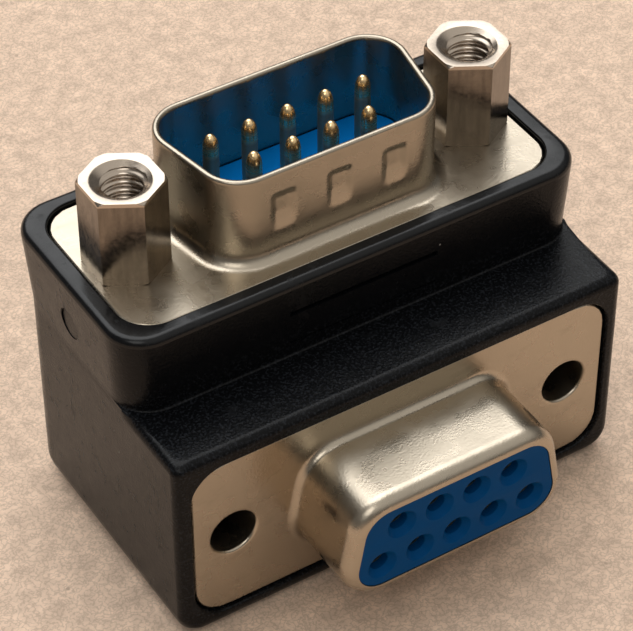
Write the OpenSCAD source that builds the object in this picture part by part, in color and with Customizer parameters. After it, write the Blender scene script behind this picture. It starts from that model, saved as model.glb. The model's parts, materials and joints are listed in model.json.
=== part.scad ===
// Right-angle nine-way D-sub adapter, all sizes in millimetres.
// The male connector faces +Z and the female connector faces -Y. The origin is the middle of the
// whole part's box, at the flat underside that it stands on.

/* [Contact grid] */
// Spacing of the contacts along a row
pin_pitch = 2.77; // [2.7:0.01:2.8]
// Spacing of the two rows
row_pitch = 2.84; // [2.7:0.01:2.9]
// From the outer contacts of the wide row to the inside of the male skirt's ends
end_room = 2.92; // [2.8:0.01:3.05]
// From a row of contacts to the inside of the male skirt's long wall
row_room = 2.76; // [2.7:0.01:2.85]

/* [D-shaped skirts] */
// Slope of the skirts' short sides, in degrees
side_slope = 10; // [8:0.5:12]
// Play, side to side, between a male and a female skirt that mate
mating_play_w = 0.59; // [0.5:0.01:0.7]
// Play, row to row, between a male and a female skirt that mate
mating_play_h = 0.46; // [0.4:0.01:0.6]
// How far the male skirt stands above its flange
male_reach = 6.5; // [5.6:0.1:6.8]
// How far the female skirt stands in front of its flange
female_reach = 6.15; // [5.6:0.05:6.6]
// Corner radius outside the skirts
skirt_r = 2.7; // [2.2:0.1:2.9]
// Radius of the bend between a flange and its skirt
root_r = 0.9; // [0.6:0.1:1]
// How far the rolled lip of the female skirt turns in
lip_in = 0.85; // [0.7:0.01:0.9]
// Length of skirt over which that lip turns in
lip_run = 1; // [0.8:0.05:1.2]

/* [Flanges] */
// Thickness of the shells' sheet steel
sheet = 0.45; // [0.3:0.05:0.45]
// From the inside of the male skirt's end to the middle of a fixing hole
hole_gap = 4.035; // [3.8:0.005:4.2]
// From the middle of a fixing hole to the end of the flange
hole_edge = 2.91; // [2.7:0.01:3.3]
// From the inside of the male skirt's long wall to the edge of the flange
flange_land = 2.095; // [1.9:0.005:2.4]
// Corner radius of the flanges
flange_r = 2.3; // [1:0.1:2.6]
// Diameter of the open fixing holes of the front flange
front_hole_d = 3.2; // [3:0.05:3.4]

/* [Contacts] */
// Diameter of a male pin
pin_d = 1.02; // [0.9:0.01:1.05]
// How far a pin's tip stays below the rim of the male skirt
pin_inset = 0.7; // [0.2:0.1:1.4]
// Diameter of a contact's tail
tail_d = 0.8; // [0.6:0.05:0.9]
// Radius of the bend in a tail, at its middle
tail_bend_r = 1.6; // [1.2:0.1:2]
// Outer diameter of a female contact
socket_d = 1.8; // [1.7:0.05:1.9]

/* [Standoffs] */
// Height of the hexagonal standoffs above the flange
standoff_h = 6.4; // [5:0.1:7]
// Width of a standoff across its flats
standoff_af = 4.8; // [4.6:0.05:5]
// Diameter of the threaded hole at the crests of its thread
thread_crest_d = 2.3; // [2.2:0.05:2.6]
// Depth of the threaded hole
thread_depth = 5; // [3.5:0.1:5.4]
// Diameter of the stud below the standoff
stud_d = 2.84; // [2.6:0.02:2.9]
// Thickness of the nut on the stud
nut_h = 2.4; // [1.6:0.1:2.6]

/* [Housing] */
// Width of the plastic border along the long edges of the flanges
border = 1.3; // [1.1:0.05:1.8]
// Width of the plastic border at the ends of the top flange
side_border = 1.45; // [1.2:0.05:1.8]
// How far the border stands proud of the flange
lip = 0.25; // [0.1:0.05:0.4]
// Distance from the front flange back to the middle of the top connector
top_setback = 12.2; // [12:0.1:14]
// Height of the top flange above the middle of the front connector
top_rise = 13.3; // [13:0.1:15]
// Radius of the upright corners of the upper block
corner_r = 2.6; // [2:0.1:3]
// Radius of the upright edges beside the front flange
front_edge_r = 0.7; // [0.4:0.1:0.9]
// Radius of the edges along the front and back of the underside
base_edge_r = 0.9; // [0.5:0.1:1.2]
// Radius of the edges along the sides of the underside
side_edge_r = 1.8; // [1:0.1:2]
// Radius of the edges round the top face
rim_edge_r = 0.55; // [0.3:0.05:0.7]
// How much the walls draw in from the top face to the waist
flare = 0.3; // [0.1:0.05:0.5]

/* [Hidden] */
$fn = 48;
slack = 0.05;              // gap between pieces that fit into each other
seat_slack = 0.12;         // gap between a flange and the recess it drops into
arc_steps = 6;             // segments in a quarter of a rounded outline
bend_steps = 5;            // segments in the bends of the sheet steel
rim_bend_r = 0.14;         // rounding of the male skirt's cut edge
male_in_w = 4 * pin_pitch + 2 * end_room;
male_in_h = row_pitch + 2 * row_room;
male_out_w = male_in_w + 2 * sheet;
male_out_h = male_in_h + 2 * sheet;
female_out_w = male_in_w - mating_play_w;
female_out_h = male_in_h - mating_play_h;
hole_span = male_in_w + 2 * hole_gap;
flange_w = hole_span + 2 * hole_edge;
flange_h = male_in_h + 2 * flange_land;
pin_reach = male_reach - pin_inset;
total_depth = female_reach + top_setback + flange_h / 2 + border;
front_y = female_reach - total_depth / 2;      // plane of the front flange
female_z = flange_h / 2 + border;              // height of the female connector's middle
male_y = front_y + top_setback;                // middle of the male connector
male_z = female_z + top_rise;                  // plane of the top flange

// Insulators and the rear shells that close them in
insulator_depth = 4.0;                         // behind the front shell's flange
male_floor = 0.3;                              // the male insulator's face above its flange
pocket_w = male_out_w + 1.2;                   // outside of a rear shell's pocket
pocket_h = male_out_h + 1.2;
pocket_r = skirt_r + 0.3;
pocket_lip = 0.8;                              // width of the rear shell's inturned edge
collar_wall = 0.4;
collar_len = 1.6;

// Contacts
shoulder_d = 1.6;                              // thicker part of a pin inside its insulator
shoulder_top = -1;                             // its upper end, from the flange plane
entry_d = 1.3;                                 // hole in the female insulator's face
countersink_d = 1.95;
countersink_h = 0.35;
socket_inset = 1;                              // female contact behind the insulator's face
socket_bore_depth = 5.5;
cup_len = 2;                                   // solder cup behind the female insulator
tail_overlap = 1.5;                            // length of tail inside the solder cup

// Housing
bore_depth = 6.5;                              // blind holes behind the front flange
ledge_z = 2 * female_z;                        // top of the front block
step_y = male_y - flange_h / 2 - border;       // front of the upper block
back_y = male_y + flange_h / 2 + border;
half_w = flange_w / 2 + side_border;            // of the top face
waist_half_w = half_w - flare;                 // of the waist and the front block
waist_back_y = back_y - flare;
waist_step_y = step_y + flare / 2;
top_z = male_z + lip;
nose_y = front_y - lip;                        // front face of the housing
chamber_half_w = 2 * pin_pitch + 2.2;
chamber_wall = 1.6;
shoulder_run = 1.4;                            // depth over which the front block's top edge fades out

// ---------------------------------------------------------------- outlines

// Points of an arc about (cx, cy)
function arc(cx, cy, r, from, to, steps) =
    [for (i = [0:steps]) let (a = from + (to - from) * i / steps)
        [cx + r * cos(a), cy + r * sin(a)]];

// Rectangle with round corners, about the origin
function round_rect(w, h, r) =
    let (x = w / 2 - r, y = h / 2 - r)
    concat(arc(x, y, r, 0, 90, arc_steps), arc(-x, y, r, 90, 180, arc_steps),
           arc(-x, -y, r, 180, 270, arc_steps), arc(x, -y, r, 270, 360, arc_steps));

// D outline with its wide side at +y, grown by grow
function d_outline(w, h, r, grow = 0) =
    let (y = h / 2 - r,
         wide = w / 2 - r,
         narrow = wide - 2 * y * tan(side_slope),
         s = side_slope,
         g = max(r + grow, 0.1))
    concat(arc(wide, y, g, -s, 90, arc_steps), arc(-wide, y, g, 90, 180 + s, arc_steps),
           arc(-narrow, -y, g, 180 + s, 270, arc_steps), arc(narrow, -y, g, 270, 360 - s, arc_steps));

// An outline lifted to height z
function at_z(points, z) = [for (p = points) [p[0], p[1], z]];

// Contact positions: five in the wide row (index 0 to 4), four in the narrow one (5 to 8)
function contact_x(i) = i < 5 ? (i - 2) * pin_pitch : (i - 6.5) * pin_pitch;
function contact_y(i) = i < 5 ? row_pitch / 2 : -row_pitch / 2;

// ------------------------------------------------------------ loft helpers

function strip(a, b, n) =
    [for (j = [0:n - 1]) each [[a + j, b + j, b + (j + 1) % n], [a + j, b + (j + 1) % n, a + (j + 1) % n]]];

// Solid through rings of equal length, bottom to top, closed by its end rings
module stack_loft(rings) {
    n = len(rings[0]);
    last = (len(rings) - 1) * n;
    centres = [for (ring = [rings[0], rings[len(rings) - 1]]) [0, (ring[0][1] + ring[n / 2][1]) / 2, ring[0][2]]];
    sides = [for (i = [0:len(rings) - 2]) each strip(i * n, (i + 1) * n, n)];
    bottom = [for (j = [0:n - 1]) [last + n, j, (j + 1) % n]];
    top = [for (j = [0:n - 1]) [last + n + 1, last + (j + 1) % n, last + j]];
    points = concat([for (ring = rings) each ring], centres);
    polyhedron(points = points, faces = concat(bottom, sides, top));
}

// Tube-like solid whose section is a closed loop of [growth, height] pairs swept round a D outline
module d_sweep(w, h, r, section) {
    n = len(d_outline(w, h, r));
    m = len(section);
    points = [for (s = section) each at_z(d_outline(w, h, r, s[0]), s[1])];
    polyhedron(points = points, faces = [for (i = [0:m - 1]) each strip(i * n, ((i + 1) % m) * n, n)]);
}

// Places a connector that is drawn with its mating side at +z and its wide row at +y
module at_male() {
    translate([0, male_y, male_z]) children();
}

module at_female() {
    translate([0, front_y, female_z]) rotate([-90, 0, 180]) children();
}

module at_both_holes() {
    for (side = [-1, 1]) translate([side * hole_span / 2, 0, 0]) children();
}

// ------------------------------------------------------------------ shells

// The bend from the flange plane up to the skirt, outside and inside
function root_outside() = arc(root_r, root_r, root_r, 268, 180, bend_steps);
function root_inside() = arc(root_r, root_r, root_r + sheet, 180, 266, bend_steps);

// Flange plate with its D opening, its top face at z = 0
module flange_plate(w, h, hole_d) {
    opening = d_outline(w, h, skirt_r, root_r - sheet / 2);
    difference() {
        translate([0, 0, -sheet]) linear_extrude(sheet) polygon(round_rect(flange_w, flange_h, flange_r));
        translate([0, 0, -2 * sheet]) linear_extrude(3 * sheet) polygon(opening);
        at_both_holes() translate([0, 0, -2 * sheet]) cylinder(d = hole_d, h = 3 * sheet);
    }
}

// Wheel that presses an upright, nearly square dimple into a wall
dimple_wheel_r = 2.4;
dimple_half_w = 0.8;
dimple_edge_r = 0.3;
dimple_depth = 0.3;
dimple_pitch = 4;
dimple_z = 3.5;
module dimple_wheel(grow) {
    r = dimple_edge_r + grow;
    x = dimple_wheel_r - dimple_edge_r;
    y = dimple_half_w - dimple_edge_r;
    rotate([0, 90, 0]) rotate_extrude()
        polygon(concat([[0, -y - r]], arc(x, -y, r, -90, 0, bend_steps), arc(x, y, r, 0, 90, bend_steps), [[0, y + r]]));
}

module at_dimples() {
    for (i = [-1:1])
        translate([i * dimple_pitch, -male_out_h / 2 + dimple_depth - dimple_wheel_r, dimple_z]) children();
}

module male_skirt() {
    rim = concat(arc(-rim_bend_r, male_reach - rim_bend_r, rim_bend_r, 0, 90, 2),
                 arc(rim_bend_r - sheet, male_reach - rim_bend_r, rim_bend_r, 90, 180, 2));
    d_sweep(male_out_w, male_out_h, skirt_r, concat(root_outside(), rim, root_inside()));
}

module male_shell() {
    color("silver") at_male() difference() {
        union() {
            flange_plate(male_out_w, male_out_h, stud_d + 0.3);
            male_skirt();
            intersection() {
                at_dimples() dimple_wheel(sheet);
                translate([-male_in_w / 2, sheet / 2 - male_out_h / 2, dimple_z / 2])
                    cube([male_in_w, male_in_h / 2, dimple_z]);
            }
        }
        at_dimples() dimple_wheel(0);
    }
}

// Points of an upright quarter ellipse about (cx, cy), from its side to its top
function quarter(cx, cy, rx, ry, steps) =
    [for (i = [0:steps]) let (a = 90 * i / steps) [cx + rx * cos(a), cy + ry * sin(a)]];

module female_skirt() {
    y = female_reach - lip_run;
    outer = quarter(-lip_in, y, lip_in, lip_run, bend_steps + 1);
    inner = quarter(-lip_in, y, lip_in - sheet, lip_run - sheet, 2);
    turned = [for (i = [2:-1:0]) inner[i]];
    d_sweep(female_out_w, female_out_h, skirt_r, concat(root_outside(), outer, turned, root_inside()));
}

module female_shell() {
    color("silver") at_female() union() {
        flange_plate(female_out_w, female_out_h, front_hole_d);
        female_skirt();
    }
}

// Rear shell: a second flange under the first, drawn into a pocket that holds the insulator
module rear_shell(hole_d, collar) {
    depth = insulator_depth + sheet;
    difference() {
        union() {
            translate([0, 0, -2 * sheet]) linear_extrude(sheet) polygon(round_rect(flange_w, flange_h, flange_r));
            translate([0, 0, -depth - sheet]) linear_extrude(depth) polygon(d_outline(pocket_w, pocket_h, pocket_r));
            if (collar)
                at_both_holes() translate([0, 0, -2 * sheet - collar_len])
                    cylinder(d = hole_d + 2 * collar_wall, h = collar_len + sheet);
        }
        translate([0, 0, -depth]) linear_extrude(2 * depth)
            polygon(d_outline(pocket_w, pocket_h, pocket_r, -sheet));
        translate([0, 0, -2 * depth]) linear_extrude(3 * depth)
            polygon(d_outline(pocket_w, pocket_h, pocket_r, -sheet - pocket_lip));
        at_both_holes() translate([0, 0, -depth]) cylinder(d = hole_d, h = 2 * depth);
    }
}

module male_rear_shell() {
    color("silver") at_male() rear_shell(stud_d + 0.3, false);
}

module female_rear_shell() {
    color("silver") at_female() rear_shell(front_hole_d, true);
}

// -------------------------------------------------------------- insulators

// Block with a front boss inside the skirt and a wider rear part inside the rear shell
module insulator_block(boss_w, boss_h, boss_grow, face) {
    translate([0, 0, -insulator_depth - sheet]) linear_extrude(insulator_depth)
        polygon(d_outline(pocket_w, pocket_h, pocket_r, -sheet - slack));
    translate([0, 0, -2 * sheet]) linear_extrude(face + 2 * sheet)
        polygon(d_outline(boss_w, boss_h, skirt_r, boss_grow));
}

module male_insulator() {
    depth = insulator_depth + 2 * sheet;
    color("#0a5ba8") at_male() difference() {
        insulator_block(male_out_w, male_out_h, -sheet - slack, male_floor);
        for (i = [0:8]) translate([contact_x(i), contact_y(i), 0]) {
            translate([0, 0, -depth]) cylinder(d = pin_d + 2 * slack, h = 2 * depth);
            translate([0, 0, -depth]) cylinder(d = shoulder_d + 2 * slack, h = depth + shoulder_top);
        }
    }
}

module female_insulator() {
    depth = insulator_depth + 2 * sheet;
    face = female_reach - slack;
    color("#0a5ba8") at_female() difference() {
        insulator_block(female_out_w, female_out_h, -lip_in - slack, face);
        for (i = [0:8]) translate([contact_x(i), contact_y(i), 0]) {
            translate([0, 0, -depth]) cylinder(d = entry_d, h = depth + face + slack);
            translate([0, 0, -depth]) cylinder(d = socket_d + 2 * slack, h = depth + face - socket_inset + slack);
            translate([0, 0, face - countersink_h])
                cylinder(d1 = entry_d, d2 = countersink_d + 0.1, h = countersink_h + 0.05);
        }
    }
}

// ---------------------------------------------------------------- contacts

// Turned pin with a domed tip, drawn about its own axis with the flange plane at z = 0
module pin_body() {
    r = pin_d / 2;
    rotate_extrude() polygon(concat(
        [[0, -insulator_depth - 1], [shoulder_d / 2, -insulator_depth - 1], [shoulder_d / 2, shoulder_top], [r, shoulder_top]],
        arc(0, pin_reach - r, r, 0, 84, arc_steps), [[0, pin_reach]]));
}

// Pin i: down from its tip, round a bend, and forward into the solder cup of socket i
module pin(i) {
    top = -insulator_depth - 0.9;
    drop = male_z - female_z + contact_y(i);          // from the flange plane to the socket's axis
    back = male_y + contact_y(i) - front_y;           // from the front flange to the pin's axis
    reach = back - tail_bend_r - (insulator_depth + sheet + cup_len - tail_overlap);
    color("gold") translate([contact_x(i), male_y + contact_y(i), male_z]) {
        pin_body();
        translate([0, 0, -drop + tail_bend_r]) cylinder(d = tail_d, h = drop - tail_bend_r + top);
        translate([0, -tail_bend_r, -drop + tail_bend_r]) rotate([0, 90, 0])
            rotate_extrude(angle = 90) translate([tail_bend_r, 0]) circle(d = tail_d);
        translate([0, -tail_bend_r, -drop]) rotate([90, 0, 0]) cylinder(d = tail_d, h = reach);
    }
}

// Female contact i: a sleeve for the mating pin and a solder cup for the tail of pin i
module socket(i) {
    front = female_reach - slack - socket_inset;
    back = -insulator_depth - sheet - cup_len;
    color("gold") at_female() translate([-contact_x(i), contact_y(i), 0]) difference() {
        translate([0, 0, back]) cylinder(d = socket_d, h = front - back);
        translate([0, 0, front - socket_bore_depth]) cylinder(d = pin_d + 0.06, h = socket_bore_depth + 1);
        translate([0, 0, back - 1]) cylinder(d = tail_d + 2 * slack, h = cup_len + 1);
    }
}

module pin_1() { pin(0); }
module pin_2() { pin(1); }
module pin_3() { pin(2); }
module pin_4() { pin(3); }
module pin_5() { pin(4); }
module pin_6() { pin(5); }
module pin_7() { pin(6); }
module pin_8() { pin(7); }
module pin_9() { pin(8); }
module socket_1() { socket(0); }
module socket_2() { socket(1); }
module socket_3() { socket(2); }
module socket_4() { socket(3); }
module socket_5() { socket(4); }
module socket_6() { socket(5); }
module socket_7() { socket(6); }
module socket_8() { socket(7); }
module socket_9() { socket(8); }

// --------------------------------------------------------------- standoffs

hex_chamfer = 0.25;
chamfer_d = standoff_af + 0.4;                 // of the round flats left at both ends
mouth_d = 3.8;                                 // of the cone that leads into the thread
mouth_h = 0.75;
stud_len = 2 * sheet + nut_h + 0.6;

// Hexagonal bar with chamfered ends and a stud below, its seat at z = 0
module standoff() {
    corner = standoff_af / sqrt(3);
    outside = corner + slack;
    flat = chamfer_d / 2;
    color("silver") difference() {
        union() {
            intersection() {
                rotate([0, 0, 30]) cylinder(r = corner, h = standoff_h, $fn = 6);
                rotate_extrude() polygon([[0, 0], [flat, 0], [outside, hex_chamfer],
                    [outside, standoff_h - hex_chamfer], [flat, standoff_h], [0, standoff_h]]);
            }
            translate([0, 0, -stud_len]) cylinder(d = stud_d, h = stud_len + hex_chamfer);
        }
        translate([0, 0, standoff_h - thread_depth]) cylinder(d = thread_crest_d, h = thread_depth + 1);
        translate([0, 0, standoff_h - mouth_h]) cylinder(d1 = thread_crest_d, d2 = mouth_d, h = mouth_h + 0.01);
    }
}

module standoff_left() { at_male() translate([-hole_span / 2, 0, 0]) standoff(); }
module standoff_right() { at_male() translate([hole_span / 2, 0, 0]) standoff(); }

// Small hexagonal nut under the rear shell's flange
module nut() {
    color("silver") translate([0, 0, -2 * sheet - nut_h]) difference() {
        rotate([0, 0, 30]) cylinder(r = standoff_af / sqrt(3), h = nut_h, $fn = 6);
        translate([0, 0, -1]) cylinder(d = stud_d + 0.06, h = nut_h + 2);
    }
}

module nut_left() { at_male() translate([-hole_span / 2, 0, 0]) nut(); }
module nut_right() { at_male() translate([hole_span / 2, 0, 0]) nut(); }

// ----------------------------------------------------------------- housing

// Level outline of the housing: front corners of radius rf at (hwf, yf), two points on each side at
// ya and yb, and back corners of radius rk at (hwk, yk)
function housing_ring(z, yf, hwf, rf, ya, hwa, yb, hwb, yk, hwk, rk) =
    at_z(concat(
        arc(rf - hwf, yf + rf, rf, 180, 270, arc_steps), arc(hwf - rf, yf + rf, rf, 270, 360, arc_steps),
        [[hwa, ya], [hwb, yb]],
        arc(hwk - rk, yk - rk, rk, 0, 90, arc_steps), arc(rk - hwk, yk - rk, rk, 90, 180, arc_steps),
        [[-hwb, yb], [-hwa, ya]]), z);

// How far an edge of radius r at the underside draws in at height z
function edge_inset(z, r) = z >= r ? 0 : r - sqrt(r * r - (r - z) * (r - z));

// Ring of the front block
function low_ring(z) =
    let (e = edge_inset(z, base_edge_r), s = edge_inset(z, side_edge_r), hw = waist_half_w - s)
    housing_ring(z, nose_y + e, hw, front_edge_r + s / 2,
        waist_step_y, hw, waist_step_y + shoulder_run, hw, waist_back_y - e, hw, corner_r);

// Ring where the front block's top edge rounds over by e, while its back goes straight on up
function shoulder_ring(z, e) =
    housing_ring(z, nose_y + e, waist_half_w - e, front_edge_r,
        waist_step_y, waist_half_w - e, waist_step_y + shoulder_run, waist_half_w,
        waist_back_y, waist_half_w, corner_r);

// Ring of the upper block, opened out by g from the waist and drawn in by e
function high_ring(z, g, e) =
    let (yf = waist_step_y - g / 2, hw = waist_half_w + g, yk = waist_back_y + g)
    housing_ring(z, yf + e, hw - e, corner_r - e,
        yf + corner_r + 0.8, hw - e, yf + corner_r + 1.6, hw - e, yk - e, hw - e, corner_r - e);

module housing_block() {
    base_r = max(base_edge_r, side_edge_r);
    low = [for (i = [0:6]) low_ring(base_r * (1 - cos(i * 15)))];
    shoulder = [for (i = [0:4]) let (a = i * 22.5)
        shoulder_ring(ledge_z - front_edge_r * (1 - sin(a)), front_edge_r * (1 - cos(a)))];
    foot = [high_ring(ledge_z + 0.03, -0.04, 0), high_ring(ledge_z + 0.3, 0, 0)];
    flared = [for (i = [1:3]) let (t = i / 4)
        high_ring(ledge_z + 0.3 + (top_z - rim_edge_r - ledge_z - 0.3) * t, flare * t, 0)];
    rim = [for (i = [0:4]) let (a = i * 22.5)
        high_ring(top_z - rim_edge_r * (1 - sin(a)), flare, rim_edge_r * (1 - cos(a)))];
    stack_loft(concat(low, shoulder, foot, flared, rim));
}

// Room for a connector's two flanges, with its rear shell's pocket below them
module connector_room() {
    grow = 2 * seat_slack;
    translate([0, 0, -2 * sheet]) linear_extrude(2 * sheet + lip + 1)
        polygon(round_rect(flange_w + grow, flange_h + grow, flange_r + seat_slack));
    translate([0, 0, -insulator_depth - 2 * sheet - seat_slack])
        linear_extrude(insulator_depth + 2 * sheet) polygon(d_outline(pocket_w, pocket_h, pocket_r, seat_slack));
}

// Hexagonal seat for a nut, with room for the end of the stud
module nut_room() {
    translate([0, 0, -2 * sheet - nut_h]) rotate([0, 0, 30])
        cylinder(r = standoff_af / sqrt(3) + slack, h = nut_h + sheet, $fn = 6);
    translate([0, 0, -stud_len - 0.5]) cylinder(d = stud_d + 0.4, h = stud_len);
}

// Moulding marks on the front of the upper block: a groove, a finer line and a gate mark
groove_w = 10.8;
groove_z = 3.3;
gate_d = 2.2;
module mould_marks() {
    translate([-groove_w / 2, step_y - 1, ledge_z + groove_z]) cube([groove_w, 1.45, 0.35]);
    translate([-groove_w / 2, step_y - 1, ledge_z + 1]) cube([groove_w, 1.35, 0.15]);
    translate([-half_w - 1, male_y, male_z - groove_z]) rotate([0, 90, 0]) cylinder(d = gate_d, h = 1 + flare);
}

// Space for the bent tails: down behind the male connector, and forward behind the female one
module tail_room() {
    front = front_y + insulator_depth;
    step = male_y - row_pitch / 2 - chamber_wall;
    back = male_y + row_pitch / 2 + chamber_wall;
    low = female_z - row_pitch / 2 - chamber_wall;
    high = female_z + row_pitch / 2 + chamber_wall;
    top = male_z - insulator_depth;
    translate([-chamber_half_w, front, low]) cube([2 * chamber_half_w, back - front, high - low]);
    translate([-chamber_half_w, step, low]) cube([2 * chamber_half_w, back - step, top - low]);
}

module housing() {
    color("#1b1b1d") difference() {
        housing_block();
        at_male() connector_room();
        at_female() connector_room();
        at_male() at_both_holes() nut_room();
        at_female() at_both_holes() translate([0, 0, -bore_depth])
            cylinder(d = front_hole_d + 2 * collar_wall + 2 * seat_slack, h = bore_depth);
        tail_room();
        mould_marks();
    }
}

housing();
male_shell();
male_rear_shell();
male_insulator();
female_shell();
female_rear_shell();
female_insulator();
standoff_left();
standoff_right();
nut_left();
nut_right();
pin_1();
pin_2();
pin_3();
pin_4();
pin_5();
pin_6();
pin_7();
pin_8();
pin_9();
socket_1();
socket_2();
socket_3();
socket_4();
socket_5();
socket_6();
socket_7();
socket_8();
socket_9();
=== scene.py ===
"""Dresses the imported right-angle D-sub adapter: moulded housing, drawn steel shells, insulators,
contacts and standoffs, each as its own piece, with the stage, the light and the camera."""

import json
import math
from functools import partial

import bpy
import numpy as np
from bpy.props import FloatProperty, FloatVectorProperty, PointerProperty
from mathutils import Matrix, Vector

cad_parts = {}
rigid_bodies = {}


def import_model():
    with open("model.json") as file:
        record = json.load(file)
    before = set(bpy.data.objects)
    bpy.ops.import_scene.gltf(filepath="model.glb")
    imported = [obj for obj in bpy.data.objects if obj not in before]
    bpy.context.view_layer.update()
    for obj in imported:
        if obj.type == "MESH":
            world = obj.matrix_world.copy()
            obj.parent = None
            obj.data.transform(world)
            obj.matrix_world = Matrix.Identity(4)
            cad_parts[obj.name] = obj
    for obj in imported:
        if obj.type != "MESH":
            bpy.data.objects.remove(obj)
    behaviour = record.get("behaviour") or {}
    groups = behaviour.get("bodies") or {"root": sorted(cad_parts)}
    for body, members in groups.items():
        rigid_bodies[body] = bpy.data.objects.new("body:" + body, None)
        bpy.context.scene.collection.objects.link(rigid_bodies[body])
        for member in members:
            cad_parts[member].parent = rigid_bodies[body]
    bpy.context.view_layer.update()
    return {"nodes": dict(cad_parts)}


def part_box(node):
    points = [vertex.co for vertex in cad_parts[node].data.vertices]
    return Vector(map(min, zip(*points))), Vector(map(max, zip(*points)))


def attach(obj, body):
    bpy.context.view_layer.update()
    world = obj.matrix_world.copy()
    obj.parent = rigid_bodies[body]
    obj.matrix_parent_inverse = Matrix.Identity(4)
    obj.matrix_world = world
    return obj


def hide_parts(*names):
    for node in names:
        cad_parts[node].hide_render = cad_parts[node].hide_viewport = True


bl_info = {
    "name": "Right-angle D-sub adapter",
    "version": (1, 0, 0),
    "blender": (4, 5, 0),
    "location": "View3D > Sidebar > D-sub adapter",
    "description": "Builds the dressed adapter round its CAD solids",
    "category": "Object",
}

for leftover in list(bpy.data.objects):
    bpy.data.objects.remove(leftover)
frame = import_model()

MM = 1000.0  # shapes are worked out in millimetres, meshes are in metres


def linear(code):
    """sRGB hex code to the linear colour that a shader takes."""
    s = np.array([int(code[i : i + 2], 16) for i in (1, 3, 5)]) / 255
    return tuple(np.where(s <= 0.04045, s / 12.92, ((s + 0.055) / 1.055) ** 2.4))


def corners(node):
    """Lowest and highest corner of a CAD node, in millimetres."""
    low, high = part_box(node)
    return np.array(low) * MM, np.array(high) * MM


SHEET = 0.45  # thickness of the shells' sheet steel
INSULATOR = 4.0  # depth of an insulator behind its flange
SHOULDER = 1.0  # depth at which a pin's shoulder starts below its flange
SLACK = 0.05  # play between pieces that fit into each other

shell_low, shell_high = corners("female_shell")
top_low, top_high = corners("male_shell")
block_low, block_high = corners("housing")
FLANGE_W = shell_high[0] - shell_low[0]
FLANGE_H = shell_high[2] - shell_low[2]
FEMALE_Z = (shell_high[2] + shell_low[2]) / 2  # middle of the front connector
FRONT_Y = shell_high[1] - SHEET  # plane of its flange
MALE_Y = (top_high[1] + top_low[1]) / 2  # middle of the top connector
MALE_Z = top_low[2] + SHEET  # plane of its flange
LEDGE_Z = 2 * FEMALE_Z  # top of the housing's front block


# ---------------------------------------------------------------- sizes and colours


def length(name, value, about):
    """A size that a user can change, kept in metres and given here in millimetres."""
    return FloatProperty(
        name=name, description=about, default=value / MM, unit="LENGTH", precision=5
    )


def colour(name, code, about):
    """A colour that a user can change."""
    return FloatVectorProperty(
        name=name, description=about, default=linear(code), subtype="COLOR", min=0, max=1
    )


class ShellSizes(bpy.types.PropertyGroup):
    """Sizes of the drawn steel shells."""

    sheet: length("Sheet", SHEET, "Thickness of the sheet steel")
    male_root: length("Male root bend", 0.9, "Outer radius between the top flange and its skirt")
    female_root: length("Female root bend", 0.6, "The same radius on the front shell")
    rim: length("Rim", 0.21, "Radius round the male skirt's cut edge")
    corner: length("Skirt corner", 2.7, "Corner radius outside the skirts")
    flange_corner: length("Flange corner", 2.3, "Corner radius of the flanges")
    male_w: length("Male skirt width", 17.82, "Outside width of the male skirt")
    male_h: length("Male skirt height", 9.26, "Outside height of the male skirt")
    female_w: length("Female skirt width", 16.33, "Outside width of the female skirt")
    female_h: length("Female skirt height", 7.9, "Outside height of the female skirt")
    lip_in: length("Lip turn-in", 0.85, "How far the female skirt's lip turns in")
    lip_run: length("Lip length", 1.0, "Length of skirt over which the lip turns in")
    hole_span: length("Hole spacing", 24.99, "Distance between the fixing holes")
    front_hole: length("Front hole", 3.2, "Diameter of the open fixing holes")
    hole_round: length("Hole rounding", 0.22, "Radius that the punch leaves round these holes")
    dimple_pitch: length("Dimple pitch", 4.0, "Distance between the male skirt's dimples")
    dimple_w: length("Dimple width", 1.96, "Width of a dimple")
    dimple_low: length("Dimple foot", 2.1, "Height of a dimple's foot above the flange")
    dimple_high: length("Dimple top", 4.9, "Height of a dimple's upper end above the flange")
    dimple_depth: length("Dimple depth", 0.27, "How deep a dimple is pressed")
    slope: FloatProperty(
        name="Side slope",
        description="Slope of the skirts' short sides",
        default=math.radians(10),
        subtype="ANGLE",
    )


class HousingSizes(bpy.types.PropertyGroup):
    """Sizes of the moulded housing."""

    border: length("Border", 1.3, "Width of the border along the flanges' long edges")
    lip: length("Border height", 0.25, "How far the border stands proud of the flange")
    corner: length("Upright corners", 2.6, "Radius of the upper block's upright corners")
    front_edge: length("Front edges", 0.7, "Radius of the edges beside the front flange")
    base_edge: length("Base edges", 0.9, "Radius of the underside's front and back edges")
    side_edge: length("Base side edges", 1.8, "Radius of the underside's side edges")
    rim_edge: length("Rim edges", 0.55, "Radius of the edges round the top face")
    flare: length("Flare", 0.3, "How much the walls draw in from the top to the waist")
    seat: length("Seat gap", 0.12, "Gap between a flange and its recess")


class StandoffSizes(bpy.types.PropertyGroup):
    """Sizes of the hexagonal standoffs."""

    flats: length("Across flats", 4.8, "Width of the hexagon across its flats")
    height: length("Height", 6.4, "Height above the flange")
    chamfer: length("Chamfer", 0.2, "Height of the corner chamfers")
    chamfer_d: length("Chamfer diameter", 5.16, "Diameter of the flats inside the chamfers")
    mouth: length("Mouth", 3.85, "Diameter of the cone that leads into the thread")
    crest: length("Thread crests", 2.55, "Diameter at the crests of the inner thread")
    thread_root: length("Thread roots", 3.2, "Diameter at the roots of the inner thread")
    pitch: length("Thread pitch", 0.635, "Rise of the thread in a turn")
    depth: length("Thread depth", 5.0, "Depth of the threaded hole")
    stud: length("Stud", 2.84, "Diameter of the stud below the flange")


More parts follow.
